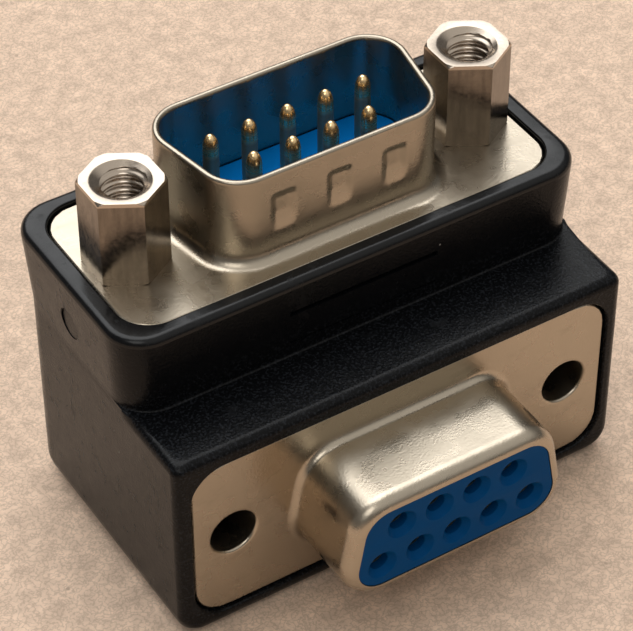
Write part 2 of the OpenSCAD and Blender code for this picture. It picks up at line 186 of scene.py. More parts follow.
class ContactSizes(bpy.types.PropertyGroup):
    """Sizes of the contacts and of their grid."""

    pitch: length("Pitch", 2.77, "Spacing along a row")
    rows: length("Row pitch", 2.84, "Spacing of the two rows")
    pin: length("Pin", 1.02, "Diameter of a male pin")
    shoulder: length("Shoulder", 1.6, "Diameter of a pin inside its insulator")
    tail: length("Tail", 0.8, "Diameter of a contact's tail")
    bend: length("Tail bend", 1.6, "Radius of the bend in a tail")
    entry: length("Entry hole", 1.3, "Hole in the female insulator's face")
    funnel: length("Funnel", 2.05, "Diameter of the funnel round an entry hole")


class Colours(bpy.types.PropertyGroup):
    """Colours of the finishes and of the stage."""

    plastic: colour("Housing", "#090A0C", "Black ABS of the housing")
    nickel: colour("Nickel plate", "#B5AA99", "Nickel plate of the steel shells")
    bar: colour("Standoff plate", "#958A7E", "Nickel plate of the turned standoffs")
    gold: colour("Gold", "#FFDDA8", "Gold flash on the contacts' tips")
    shaft: colour("Contact shafts", "#A59B80", "Nickel under the gold, bare on the shafts")
    blue: colour("Insulator", "#005CA0", "Blue PBT of the insulators")
    dust: colour("Dust", "#8F8D88", "Specks of dust on the housing")
    floor: colour("Floor", "#D7BCA5", "Pale card that the part stands on")


SETTINGS = {
    "dsub_shell": ShellSizes,
    "dsub_housing": HousingSizes,
    "dsub_standoff": StandoffSizes,
    "dsub_contact": ContactSizes,
    "dsub_colour": Colours,
}


class Sizes:
    """One PropertyGroup's lengths in millimetres, by the same names. The slope is an angle."""

    def __init__(self, key):
        group = getattr(bpy.context.scene, key)
        for name in group.__annotations__:
            scale = 1 if name == "slope" else MM
            setattr(self, name, getattr(group, name) * scale)


# ---------------------------------------------------------------- meshes


def skin(name, points, ring=False, caps=True):
    """Mesh over a grid of points (rows, columns, 3) in millimetres. Each row is closed on itself.
    With ring the last row joins the first; with caps each end row is closed by a fan about its
    mean. The volume inside is the sum of point . (point x point) / 6 over the triangles, and where
    it comes out negative all faces are turned to point outwards."""
    rows, columns = points.shape[:2]
    index = np.arange(rows * columns).reshape(rows, columns)
    low = index if ring else index[:-1]
    high = np.roll(index, -1, 0) if ring else index[1:]
    quads = np.stack([low, np.roll(low, -1, 1), np.roll(high, -1, 1), high], -1).reshape(-1, 4)
    vertices = points.reshape(-1, 3) / MM
    fans = np.zeros((0, 3), int)
    if caps and not ring:
        first, last = index[0], index[-1]
        middle = len(vertices)
        vertices = np.vstack([vertices, vertices[first].mean(0), vertices[last].mean(0)])
        whole = np.full(columns, middle)
        foot = np.stack([whole, np.roll(first, -1), first], -1)
        head = np.stack([whole + 1, last, np.roll(last, -1)], -1)
        fans = np.vstack([foot, head])
    triangles = np.vstack([quads[:, :3], quads[:, [0, 2, 3]], fans])
    a, b, c = (vertices[triangles[:, i]] for i in range(3))
    if np.einsum("ij,ij->", a, np.cross(b, c)) < 0:
        quads, fans = quads[:, ::-1], fans[:, ::-1]
    mesh = bpy.data.meshes.new(name)
    mesh.vertices.add(len(vertices))
    mesh.vertices.foreach_set("co", vertices.astype(np.float32).ravel())
    mesh.loops.add(quads.size + fans.size)
    around = np.concatenate([quads.ravel(), fans.ravel()])
    mesh.loops.foreach_set("vertex_index", around.astype(np.int32))
    mesh.polygons.add(len(quads) + len(fans))
    starts = np.concatenate([np.arange(len(quads)) * 4, quads.size + np.arange(len(fans)) * 3])
    mesh.polygons.foreach_set("loop_start", starts.astype(np.int32))
    mesh.update(calc_edges=True)
    mesh.validate()
    piece = bpy.data.objects.new(name, mesh)
    bpy.context.scene.collection.objects.link(piece)
    return piece


def cut(piece, grid):
    """Takes the solid that a grid encloses out of piece."""
    cutter = skin("cutter", grid)
    step = piece.modifiers.new("cut", "BOOLEAN")
    step.operation, step.solver, step.object = "DIFFERENCE", "MANIFOLD", cutter
    bpy.context.view_layer.update()
    whole = piece.evaluated_get(bpy.context.evaluated_depsgraph_get())
    solid = bpy.data.meshes.new_from_object(whole)
    piece.modifiers.clear()
    old, piece.data = piece.data, solid
    bpy.data.meshes.remove(old)
    solid.name = piece.name
    bpy.data.objects.remove(cutter)


def dress(piece, nodes, finish, crease=30):
    """Shades a piece smooth except over edges sharper than crease degrees, gives it its finish and
    its body, and hides the CAD nodes that it stands for."""
    piece.data.materials.clear()
    piece.data.materials.append(finish)
    piece.data.shade_smooth()
    piece.data.set_sharp_from_angle(angle=math.radians(crease))
    weigh = piece.modifiers.new("flat faces stay flat", "WEIGHTED_NORMAL")
    weigh.keep_sharp = True
    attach(piece, "root")
    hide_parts(*nodes)


# ---------------------------------------------------------------- outlines and profiles


def arc(cx, cy, rx, ry, start, end, steps):
    """Points of an elliptical arc: the centre plus (rx cos a, ry sin a), at equal angles from
    start to end, in degrees."""
    a = np.radians(np.linspace(start, end, steps + 1))
    return np.stack([cx + rx * np.cos(a), cy + ry * np.sin(a)], -1)


def round_outline(corner_rows, turn, side):
    """Centres and directions of a closed outline with round corners. A row is a corner's centre and
    its first and last angle. Round a corner the direction turns about a fixed centre; along a side
    the centre moves and the direction stays. A point is its centre plus radius times direction."""
    centres, angles = [], []
    for here, after in zip(corner_rows, corner_rows[1:] + corner_rows[:1]):
        x, y, first, last = here
        steps = math.ceil((last - first) / turn)
        centres.append(np.tile([x, y], (steps + 1, 1)))
        angles.append(np.linspace(first, last, steps + 1))
        run = np.array([after[0] - x, after[1] - y])
        stops = max(round(math.hypot(*run) / side), 1)
        t = np.arange(1, stops)[:, None] / stops
        centres.append(np.array([x, y]) + t * run)
        angles.append(np.full(stops - 1, last))
    a = np.radians(np.concatenate(angles))
    return np.concatenate(centres), np.stack([np.cos(a), np.sin(a)], -1)


def d_outline(w, h, r, slope, turn=6, side=0.12):
    """D with its wide side at +y and its short sides sloped."""
    y, wide, s = h / 2 - r, w / 2 - r, math.degrees(slope)
    narrow = wide - 2 * y * math.tan(slope)
    rows = [
        (wide, y, -s, 90),
        (-wide, y, 90, 180 + s),
        (-narrow, -y, 180 + s, 270),
        (narrow, -y, 270, 360 - s),
    ]
    return round_outline(rows, turn, side)


def box_outline(w, h, r, turn=6, side=0.5):
    """Rectangle with round corners."""
    x, y = w / 2 - r, h / 2 - r
    rows = [(x, y, 0, 90), (-x, y, 90, 180), (-x, -y, 180, 270), (x, -y, 270, 360)]
    return round_outline(rows, turn, side)


def grown(outline, r):
    """The outline's points at radius r about its corner centres."""
    centres, directions = outline
    return centres + r * directions


def cast(points, ring):
    """Where rays from the origin through points meet a ring, whose reach is looked up by angle."""
    bearing = np.arctan2(ring[:, 1], ring[:, 0])
    a = np.arctan2(points[:, 1], points[:, 0])
    reach = np.interp(a, *zip(*sorted(zip(bearing, np.hypot(*ring.T)))), period=2 * np.pi)
    return np.stack([reach * np.cos(a), reach * np.sin(a)], -1)


def lofted(rings, heights):
    """Grid through flat rings, one for each height."""
    z = np.broadcast_to(np.array(heights, float)[:, None], (len(rings), len(rings[0])))
    return np.concatenate([np.stack(rings), z[..., None]], -1)


def spun(profile, columns=72):
    """Surface of revolution about z of rows of (radius, height)."""
    a = np.linspace(0, 2 * np.pi, columns, endpoint=False)
    profile = np.array(profile, float)
    r, z = profile[:, :1], profile[:, 1:]
    return np.stack([r * np.cos(a), r * np.sin(a), z + 0 * a], -1)


def flared(r, depth, mouth, above=1.0):
    """Profile of a round cutter from depth below z = 0, whose mouth rounds outwards by mouth."""
    bend = arc(r + mouth, -mouth, mouth, mouth, 180, 90, 6)
    return [(r, -depth), *bend, (r + mouth, above)]


def at_male(points):
    """Places a connector drawn with its mating side at +z and its wide row at +y, on top."""
    return points + np.array([0, MALE_Y, MALE_Z])


def at_female(points):
    """Places it in front: z becomes -y, y becomes -z, and x turns round."""
    x, y, z = points[..., 0], points[..., 1], points[..., 2]
    return np.stack([-x, FRONT_Y - z, FEMALE_Z - y], -1)


def moved(points, x=0.0, y=0.0, z=0.0):
    """The points shifted along the axes."""
    return points + np.array([x, y, z])


def fixing_places(s):
    """Middles of a flange's fixing holes."""
    return [(-s.hole_span / 2, 0), (s.hole_span / 2, 0)]


def contact_places(c):
    """Middles of the contacts: five in the wide row at +y, then four between them."""
    wide = [((i - 2) * c.pitch, c.rows / 2) for i in range(5)]
    return wide + [((i - 1.5) * c.pitch, -c.rows / 2) for i in range(4)]


def pierce(piece, place, profile, spots, columns=72):
    """Cuts a round hole with one profile at each spot of a connector."""
    for x, y in spots:
        cut(piece, place(moved(spun(profile, columns), x, y)))


# ---------------------------------------------------------------- shells


def pressed(points, s):
    """Presses three dimples into the male skirt's long wall at -y. Down each dimple the depth is
    the least of three straight lines: a steep one from nothing at its top, a nearly level one, and
    a slanting one from nothing at its foot. Their joints are rounded by a soft minimum,
    -log(sum of exp(-k line)) / k, and a smooth step ends the dimple at its sides."""
    x, y, z = points[..., 0], points[..., 1], points[..., 2]
    sharpness, side = 14, 0.6
    up = (z - s.dimple_low) / (s.dimple_high - s.dimple_low)
    lines = np.stack([(1 - up) / 0.16, 0.9 + 0.1 * up, up / 0.42])
    least = -np.logaddexp.reduce(-sharpness * lines) / sharpness
    down = np.logaddexp(0, sharpness * least) / sharpness
    away = np.abs(x[..., None] - s.dimple_pitch * np.array([-1, 0, 1])).min(-1)
    t = np.clip((s.dimple_w / 2 - away) / side, 0, 1)
    across = t * t * (3 - 2 * t)
    out = points.copy()
    out[..., 1] += np.where(y < 0, s.dimple_depth * across * down, 0)
    return out


def shell_grid(s, w, h, edge, root):
    """A shell as one closed loop of rows swept round its D: over the flange from its outer edge, up
    the root bend and the skirt, round the skirt's edge, down inside and back under the flange."""
    outline = d_outline(w, h, s.corner, s.slope)
    bend_out = arc(root, root, root, root, 270, 180, 10)
    bend_in = arc(root, root, root + s.sheet, root + s.sheet, 180, 270, 8)
    row = 0.11  # height of a row of the skirt
    z_out = np.arange(root, edge[0][1], row)[1:]
    wall_out = np.stack([0 * z_out, z_out], -1)
    z_in = np.arange(edge[-1][1], root, -row)[1:]
    wall_in = np.stack([0 * z_in - s.sheet, z_in], -1)
    profile = np.vstack([bend_out, wall_out, edge, wall_in, bend_in])
    rings = [grown(outline, s.corner + g) for g, _ in profile]
    foot_out, foot_in = rings[0], rings[-1]
    plate = box_outline(FLANGE_W, FLANGE_H, s.flange_corner, turn=1.5, side=0.1)

    def rim(inset):
        """The flange's outline, drawn in by inset."""
        return cast(foot_out, grown(plate, s.flange_corner - inset))

    stamped = [(0, -0.1), (0.025, -0.06), (0.06, -0.04), (0.1, 0)]  # rounding of the flange's edge
    top = [rim(inset) for inset, _ in stamped]
    blend = np.linspace(0, 1, 5)[1:-1]
    over = [top[-1] * (1 - t) + foot_out * t for t in blend]
    under = [foot_in * (1 - t) + rim(0) * t for t in blend]
    rows = top + over + rings + under + [rim(0)]
    heights = [z for _, z in stamped] + [0] * len(over) + list(profile[:, 1])
    heights += [-s.sheet] * (len(under) + 1)
    return lofted(rows, heights)


class DSUB_OT_male_shell(bpy.types.Operator):
    """Male shell: flange and upright skirt with three locating dimples"""

    bl_idname = "dsub.male_shell"
    bl_label = "Male shell"

    def execute(self, context):
        s, bar = Sizes("dsub_shell"), Sizes("dsub_standoff")
        r = s.rim
        y = top_high[2] - MALE_Z - r
        edge = np.vstack([arc(-r, y, r, r, 0, 90, 5), arc(r - s.sheet, y, r, r, 90, 180, 5)])
        grid = pressed(shell_grid(s, s.male_w, s.male_h, edge, s.male_root), s)
        piece = skin("male_shell_drawn", at_male(grid), ring=True)
        play = 0.3  # of the studs in their holes
        hole = flared((bar.stud + play) / 2, 2 * s.sheet, 0.08)
        pierce(piece, at_male, hole, fixing_places(s))
        dress(piece, ["male_shell"], nickel_plated_steel())
        return {"FINISHED"}


class DSUB_OT_female_shell(bpy.types.Operator):
    """Female shell: flange with two open holes and a skirt whose lip is rolled in"""

    bl_idname = "dsub.female_shell"
    bl_label = "Female shell"

    def execute(self, context):
        s = Sizes("dsub_shell")
        y = FRONT_Y - shell_low[1] - s.lip_run
        out = arc(-s.lip_in, y, s.lip_in, s.lip_run, 0, 90, 12)
        inside = arc(-s.lip_in, y, s.lip_in - s.sheet, s.lip_run - s.sheet, 90, 0, 3)
        edge = np.vstack([out, inside])
        grid = shell_grid(s, s.female_w, s.female_h, edge, s.female_root)
        piece = skin("female_shell_drawn", at_female(grid), ring=True)
        hole = flared(s.front_hole / 2, 2 * s.sheet, s.hole_round)
        pierce(piece, at_female, hole, fixing_places(s))
        dress(piece, ["female_shell"], nickel_plated_steel())
        return {"FINISHED"}


# ---------------------------------------------------------------- insulators


def pocket(s, gap=0.0):
    """Outline and radius of the room behind a flange, inside the rear shell."""
    wider, r = 1.2, s.corner + 0.3
    return d_outline(s.male_w + wider, s.male_h + wider, r, s.slope), r - gap


def insulator_grid(s, w, h, grow, face):
    """Block of two D steps, with a small bevel round its face. The step in front is the skirt's
    outline, grown by grow."""
    bevel = 0.04
    rear, rear_r = pocket(s, s.sheet + SLACK)
    boss = d_outline(w, h, s.corner, s.slope)
    rear_ring = grown(rear, rear_r)
    boss_r = s.corner + grow
    boss_ring = cast(rear_ring, grown(boss, boss_r))
    small = cast(rear_ring, grown(boss, boss_r - bevel))
    rings = [rear_ring, rear_ring, boss_ring, boss_ring, small]
    return lofted(rings, [-INSULATOR - s.sheet, -s.sheet, -s.sheet, face - bevel, face])


class DSUB_OT_insulators(bpy.types.Operator):
    """Blue insulators: the male one is a floor round the pins, the female one fills its skirt"""

    bl_idname = "dsub.insulators"
    bl_label = "Insulators"

    def execute(self, context):
        s, c = Sizes("dsub_shell"), Sizes("dsub_contact")
        back = -INSULATOR - 2 * s.sheet
        bite, face = 0.1, 0.3  # it closes on the skirt's wall, and its floor is above the flange
        male = insulator_grid(s, s.male_w, s.male_h, bite - s.sheet, face)
        piece = skin("male_insulator_moulded", at_male(male))
        r, thick, soft = c.pin / 2 + SLACK, c.shoulder / 2 + SLACK, 0.1
        bend = arc(r + soft, face - soft, soft, soft, 180, 90, 4)
        hole = [(thick, back), (thick, -SHOULDER), (r, -SHOULDER), *bend, (r + soft, 1)]
        pierce(piece, at_male, hole, contact_places(c), 48)
        # Painted light: the up-facing floor gets a copy of the blue 1.7 times as bright.
        dress(piece, ["male_insulator"], blue_pbt("Blue PBT, moulded", 1.7))

        gap, face = 0.01, FRONT_Y - shell_low[1] - SLACK
        female = insulator_grid(s, s.female_w, s.female_h, -s.lip_in - gap, face)
        piece = skin("female_insulator_moulded", at_female(female))
        r, wide, bore, soft = c.entry / 2, c.funnel / 2, 0.95, 0.06
        bend = arc(wide + soft, face - soft, soft, soft, 160, 90, 3)
        hole = [(bore, back), (bore, face - 1), (r, face - 1), (r, face - 0.42), *bend]
        hole += [(wide + soft, face + 1)]
        pierce(piece, at_female, hole, contact_places(c), 64)
        # Painted shade: the front face gets a copy of the blue at 0.55 of its brightness.
        dress(piece, ["female_insulator"], blue_pbt("Blue PBT, deeper batch", 0.55))
        return {"FINISHED"}


# ---------------------------------------------------------------- contacts


def tube(path, radii, columns=40):
    """Round tube along a path in a plane of constant x. A ring is the path point plus its radius
    times (cos a X + sin a N), where N is the in-plane normal of the path's direction."""
    ahead = np.gradient(path, axis=0)
    ahead /= np.linalg.norm(ahead, axis=1)[:, None]
    across = np.array([1.0, 0, 0])
    normal = np.cross(ahead, across)
    a = np.linspace(0, 2 * np.pi, columns, endpoint=False)[None, :, None]
    offset = np.cos(a) * across + np.sin(a) * normal[:, None, :]
    return path[:, None, :] + np.array(radii)[:, None, None] * offset


class DSUB_OT_contacts(bpy.types.Operator):
    """Pins with a gilt bullet tip and a tail bent forward, and the female sleeves"""

    bl_idname = "dsub.contacts"
    bl_label = "Contacts"

    def execute(self, context):
        c, finish = Sizes("dsub_contact"), gold_flash()
        for i, (_, y) in enumerate(contact_places(c)):
            low, high = corners(f"pin_{i + 1}")
            place_x, axis_y = (low[0] + high[0]) / 2, MALE_Y + y
            tip, end_y = high[2], low[1]
            tail_z = low[2] + c.tail / 2
            r, thick, t = c.pin / 2, c.shoulder / 2, c.tail / 2
            ogive = arc(0, tip - 2 * r, r, 2 * r, 89, 0, 14)
            shoulder_z, back_z, near = MALE_Z - SHOULDER, MALE_Z - INSULATOR - 1, 0.02
            down = [*ogive, (r, shoulder_z + near), (thick, shoulder_z), (thick, back_z)]
            down += [(t, back_z - near), (t, tail_z + c.bend + near)]
            radii = [p[0] for p in down]
            path = [(place_x, axis_y, p[1]) for p in down]
            bend = arc(axis_y - c.bend, tail_z + c.bend, c.bend, c.bend, 0, -90, 14)
            path += [(place_x, *p) for p in bend] + [(place_x, end_y, tail_z)]
            radii += [t] * (len(bend) + 1)
            piece = skin(f"pin_{i + 1}_turned", tube(np.array(path), radii))
            dress(piece, [f"pin_{i + 1}"], finish, crease=40)
        for i in range(9):
            paint(f"socket_{i + 1}", finish)
        return {"FINISHED"}


# ---------------------------------------------------------------- standoffs


def hexagon(angle, flats):
    """Reach of a hexagon with a flat towards angle 0: half the flats over cos of the angle from the
    nearest flat's middle."""
    third = np.pi / 3
    away = (angle + third / 2) % third - third / 2
    return flats / 2 / np.cos(away)


def standoff_grid(b, stud_len):
    """Rows of (limit radius, height) from the stud's end up the outside and down the thread. A
    point's radius is the least of the row's limit and the hexagon. Down the hole it is the greater
    of the mouth's cone and the helix, which is crest plus depth times a raised cosine of height
    over pitch plus turn, and runs out over the last 0.4 mm."""
    h, flat, outside = b.height, b.chamfer_d / 2, b.flats / math.sqrt(3) + SLACK
    stud, end = b.stud / 2, 0.25
    outer = [(stud - end, -stud_len), (stud, end - stud_len), (stud, -0.001)]
    outer += [(stud + 0.2, 0), (flat - 0.02, 0)]
    steps, foot = np.linspace(0, 1, 6), 0.4 * b.chamfer
    outer += [(flat + (outside - flat) * t, foot * t) for t in steps]
    outer += [(outside, z) for z in np.linspace(foot, h - b.chamfer, 16)[1:]]
    outer += [(outside - (outside - flat) * t, h - b.chamfer * (1 - t)) for t in steps[1:]]
    mouth = b.mouth / 2
    outer += [(mouth + 0.12, h), (mouth + 0.05, h - 0.012)]
    outer = np.array(outer)
    a = np.linspace(0, 2 * np.pi, 193)[:-1]
    hex_rows = np.minimum(outer[:, :1], hexagon(a, b.flats)[None, :])
    row, cone_slope = 0.03, 1.5
    z = h - np.arange(row, b.depth, row)[:, None]
    cone = mouth - cone_slope * (h - z)
    turn = (z / b.pitch + a / (2 * np.pi)) % 1
    wave = 0.5 - 0.5 * np.cos(2 * np.pi * turn)
    crest, root = b.crest / 2, b.thread_root / 2
    helix = crest + (root - crest) * wave * np.clip((z - (h - b.depth)) / 0.4, 0, 1)
    inner = np.maximum(cone, helix)
    floor = np.array([[crest * 0.9, h - b.depth], [0.02, h - b.depth - 0.3]])
    radii = np.vstack([hex_rows, inner, np.broadcast_to(floor[:, :1], (2, len(a)))])
    heights = np.concatenate([outer[:, 1], z[:, 0], floor[:, 1]])[:, None]
    return np.stack([radii * np.cos(a), radii * np.sin(a), heights + 0 * radii], -1)


class DSUB_OT_standoffs(bpy.types.Operator):
    """Hexagonal standoffs with a threaded hole on top, their studs, and the nuts below"""

    bl_idname = "dsub.standoffs"
    bl_label = "Standoffs"

    def execute(self, context):
        b, s = Sizes("dsub_standoff"), Sizes("dsub_shell")
        finish = nickel_plated_brass()
        for name, (x, y) in zip(("standoff_left", "standoff_right"), fixing_places(s)):
            stud_len = MALE_Z - corners(name)[0][2]
            grid = moved(standoff_grid(b, stud_len), x, y)
            piece = skin(name + "_turned", at_male(grid))
            dress(piece, [name], finish)
        for node in ("nut_left", "nut_right"):
            paint(node, finish)
        return {"FINISHED"}


# ---------------------------------------------------------------- housing


def level_rings(rows, turn=10):
    """Rings of the housing. A row is z, then the front's y, half width and radius, two points on
    the sides as y and half width, then the back's y, half width and radius. Corners are arcs."""
    z, yf, hwf, rf, ya, hwa, yb, hwb, yk, hwk, rk = np.array(rows, float).T[:, :, None]
    quarter = np.radians(np.arange(0, 90.1, turn))[None, :]

    def corner(cx, cy, r, start):
        """A quarter circle about (cx, cy) from start degrees."""
        a = quarter + math.radians(start)
        return np.stack([cx + r * np.cos(a), cy + r * np.sin(a)], -1)

    def point(x, y):
        """One point on a side."""
        return np.stack([x, y], -1)

    front = [corner(rf - hwf, yf + rf, rf, 180), corner(hwf - rf, yf + rf, rf, 270)]
    back = [corner(hwk - rk, yk - rk, rk, 0), corner(rk - hwk, yk - rk, rk, 90)]
    right, left = [point(hwa, ya), point(hwb, yb)], [point(-hwb, yb), point(-hwa, ya)]
    flat = np.concatenate([*front, *right, *back, *left], 1)
    return np.concatenate([flat, np.broadcast_to(z[..., None], (*flat.shape[:2], 1))], -1)


def housing_rows(g):
    """Rows for level_rings, from the underside to the top: the front block with its rounded base,
    its top edge rounding over into the ledge, a small fillet, then the flaring upper block."""
    nose, top = block_low[1], block_high[2]
    waist, waist_back = block_high[0] - g.flare, block_high[1] - g.flare
    step = MALE_Y - FLANGE_H / 2 - g.border + g.flare / 2
    run = 1.4  # depth over which the front block's top edge fades out

    def inset(z, r):
        """How far an edge of radius r is drawn in at height z."""
        return r - math.sqrt(r * r - max(r - z, 0) ** 2)

    def low(z):
        """Front block at height z of its rounded base."""
        e, side = inset(z, g.base_edge), inset(z, g.side_edge)
        hw, r = waist - side, g.front_edge + side / 2
        return (z, nose + e, hw, r, step, hw, step + run, hw, waist_back - e, hw, g.corner)

    def shoulder(z, e):
        """Front block at height z of its top edge, drawn in by e."""
        front = (z, nose + e, waist - e, g.front_edge, step, waist - e)
        return (*front, step + run, waist, waist_back, waist, g.corner)

    def high(z, open_by, e, front=0.0):
        """Upper block at height z, opened by the flare and drawn in by e."""
        y, hw, yk = step - open_by / 2 + front, waist + open_by - e, waist_back + open_by
        ya, yb = y + g.corner + 0.8, y + g.corner + 1.6
        return (z, y + e, hw, g.corner - e, ya, hw, yb, hw, yk - e, hw, g.corner - e)

    turns = np.radians(np.arange(0, 90.1, 11.25))
    bends = [(1 - math.sin(a), 1 - math.cos(a)) for a in turns]
    rows = [low(g.side_edge * cosine) for _, cosine in bends]
    edge, fillet, rim = g.front_edge, 0.16, g.rim_edge
    rows += [shoulder(LEDGE_Z - edge * sine, edge * cosine) for sine, cosine in bends]
    for sine, cosine in bends[::2]:
        z = LEDGE_Z + 0.012 + fillet * cosine
        rows.append(high(z, -0.02 * fillet * sine, 0, -fillet * sine))
    start = LEDGE_Z + 0.3
    rise = top - rim - start
    rows += [high(start + rise * t, g.flare * t, 0) for t in np.linspace(0, 1, 5)[:-1]]
    rows += [high(top - rim * sine, g.flare, rim * cosine) for sine, cosine in bends]
    return rows


def recess(g, s):
    """Cutter for a flange's seat, whose mouth rounds over by a small radius."""
    plate, mouth = box_outline(FLANGE_W, FLANGE_H, s.flange_corner), 0.14
    bend = arc(mouth, g.lip - mouth, mouth, mouth, 180, 90, 5)
    steps = np.vstack([[0, -2 * s.sheet], bend, [mouth, g.lip + 1]])
    rings = [grown(plate, s.flange_corner + g.seat + e) for e, _ in steps]
    return lofted(rings, steps[:, 1])


def block(low, high):
    """A box between two corners, as a grid."""
    (x0, y0, z0), (x1, y1, z1) = low, high
    ring = np.array([(x0, y0), (x1, y0), (x1, y1), (x0, y1)], float)
    return lofted([ring, ring], [z0, z1])


class DSUB_OT_housing(bpy.types.Operator):
    """Black housing: one moulding with two seats, bores behind the front holes and mould marks"""

    bl_idname = "dsub.housing"
    bl_label = "Housing"

    def execute(self, context):
        g, s, c = Sizes("dsub_housing"), Sizes("dsub_shell"), Sizes("dsub_contact")
        piece = skin("housing_moulded", level_rings(housing_rows(g)))
        for grid in [*self.seats(g, s), *self.chambers(c), *self.marks(g)]:
            cut(piece, grid)
        grained = black_abs("Black ABS, spark-eroded tool", 0.026, 0.12)
        dress(piece, ["housing"], grained)
        piece.data.materials.append(black_abs("Black ABS, polished tool", 0.002, 0.26))
        faces = piece.data.polygons
        middles = np.empty(len(faces) * 3)
        faces.foreach_get("center", middles)
        rim = middles[2::3] * MM > block_high[2] - g.rim_edge - 0.05
        faces.foreach_set("material_index", rim.astype(np.int32))
        return {"FINISHED"}

    def seats(self, g, s):
        """Cutters for the flanges, the pockets behind them, the front bores and the nuts."""
        front_bore = spun([(2.12, -6.5), (2.12, 0)])
        nut_seat = spun([(2.85, -3.35), (2.85, -0.5)])
        stud_end = spun([(1.62, -4.45), (1.62, -3)])
        hollow, r = pocket(s, -g.seat)
        foot = -INSULATOR - 2 * s.sheet - g.seat
        grids = []
        for place in (at_male, at_female):
            grids.append(place(recess(g, s)))
            grids.append(place(lofted([grown(hollow, r)] * 2, [foot, -s.sheet])))
        for x, y in fixing_places(s):
            grids.append(at_female(moved(front_bore, x, y)))
            grids.append(at_male(moved(nut_seat, x, y)))
            grids.append(at_male(moved(stud_end, x, y)))
        return grids

    def chambers(self, c):
        """Cutters for the room round the bent tails: one part behind each insulator."""
        half, reach = 2 * c.pitch + 2.2, c.rows / 2 + 1.6
        low, high = FEMALE_Z - reach, FEMALE_Z + reach
        far = MALE_Y + reach
        front = block((-half, FRONT_Y + INSULATOR, low), (half, far, high))
        upper = block((-half, MALE_Y - reach, low), (half, far, MALE_Z - INSULATOR))
        return [front, upper]

    def marks(self, g):
        """Cutters for the marks of the mould: a groove, a finer line and a round gate mark."""
        half, step = 5.4, MALE_Y - FLANGE_H / 2 - g.border
        groove_z, line_z = LEDGE_Z + 3.3, LEDGE_Z + 1
        groove = block((-half, step - 1, groove_z), (half, step + 0.45, groove_z + 0.35))
        line = block((-half, step - 1, line_z), (half, step + 0.35, line_z + 0.15))
        x, y, z = np.moveaxis(spun(flared(1.05, 0.1, 0.05, 2)), -1, 0)
        wall = block_high[0] - 0.59 * g.flare
        gate = np.stack([-z - wall, x + MALE_Y, y + MALE_Z - 3.3], -1)
        return [groove, line, gate]


class DSUB_OT_rear_shells(bpy.types.Operator):
    """Finish of the rear shells, which stay the CAD solids inside the housing"""

    bl_idname = "dsub.rear_shells"
    bl_label = "Rear shells"

    def execute(self, context):
        for node in ("male_rear_shell", "female_rear_shell"):
            paint(node, nickel_plated_steel())
        return {"FINISHED"}


# ---------------------------------------------------------------- finishes

# The values of a Noise Texture are listed as vector, W, scale, detail and roughness, and those of a
# Map Range as value, its lowest and highest, and what they become. The finest grains are drawn at
# 0.12 to 0.18 mm, coarser than the real ones, because anything finer would not show.


def add(tree, kind, inputs=(), out=0, **settings):
    """Adds a node with its settings, sets or links its inputs, and returns one of its outputs. Its
    kind is the type's name after ShaderNode. The inputs are a dict by name or number, or a list in
    the node's own order."""
    node = tree.nodes.new("ShaderNode" + kind)
    for key, value in settings.items():
        setattr(node, key, value)
    for key, value in inputs.items() if isinstance(inputs, dict) else enumerate(inputs):
        if isinstance(value, bpy.types.NodeSocket):
            tree.links.new(value, node.inputs[key])
        else:
            node.inputs[key].default_value = value
    return node.outputs[out] if len(node.outputs) else None


def paint(node, finish):
    """Gives a CAD node its finish in place of the plain one."""
    piece = frame["nodes"][node]
    piece.data.materials.clear()
    piece.data.materials.append(finish)


def tone(rgb, factor):
    """A colour made darker or paler, with alpha."""
    return (*[min(v * factor, 1.0) for v in rgb], 1.0)


def new_finish(name):
    """A new material, add for its tree, and its Object coordinates."""
    finish = bpy.data.materials.new(name)
    finish.use_nodes = True
    finish.node_tree.nodes.clear()
    node = partial(add, finish.node_tree)
    return finish, node, node("TexCoord", out="Object")


def end_finish(finish, base, coats, inputs, bumps):
    """Ends a material in its Principled shader. Each coat, an amount and a colour, is laid over the
    base colour in turn. Each bump is a height and its distance in millimetres."""
    node, normal = partial(add, finish.node_tree), None
    for amount, over in coats:
        base = node("Mix", {0: amount, 6: base, 7: over}, 2, data_type="RGBA")
    for height, distance in bumps:
        wanted = {"Height": height, "Distance": distance / MM, "Strength": 1.0}
        if normal is not None:
            wanted["Normal"] = normal
        normal = node("Bump", wanted)
    shader = node("BsdfPrincipled", {"Base Color": base, **inputs, "Normal": normal})
    node("OutputMaterial", {"Surface": shader})
    return finish


